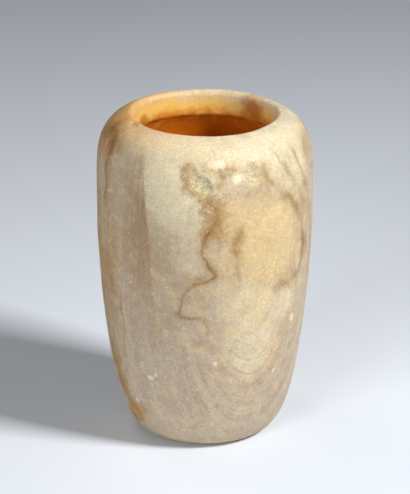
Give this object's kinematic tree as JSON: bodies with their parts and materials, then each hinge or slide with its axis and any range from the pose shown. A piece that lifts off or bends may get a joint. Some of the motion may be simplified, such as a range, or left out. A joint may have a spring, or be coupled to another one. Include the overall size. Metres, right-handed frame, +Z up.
{
  "type": "alabaster vase",
  "caption": "Small shouldered jar of veined, honey-coloured alabaster, drilled hollow, with a wide open mouth and a wall that tapers to a small flat foot.",
  "frame": {"origin": "middle of the flat underside, where the vase stands", "axes": "+Z up through the mouth, -Y towards the side the picture shows, +X to that view's right"},
  "size_m": [0.0905, 0.0904, 0.14],
  "materials": {
    "alabaster": "hand-smoothed, dull, slightly translucent, with brown veins and a grainy weathered skin"
  },
  "bodies": {
    "root": {"vase": "alabaster"}
  },
  "joints": []
}
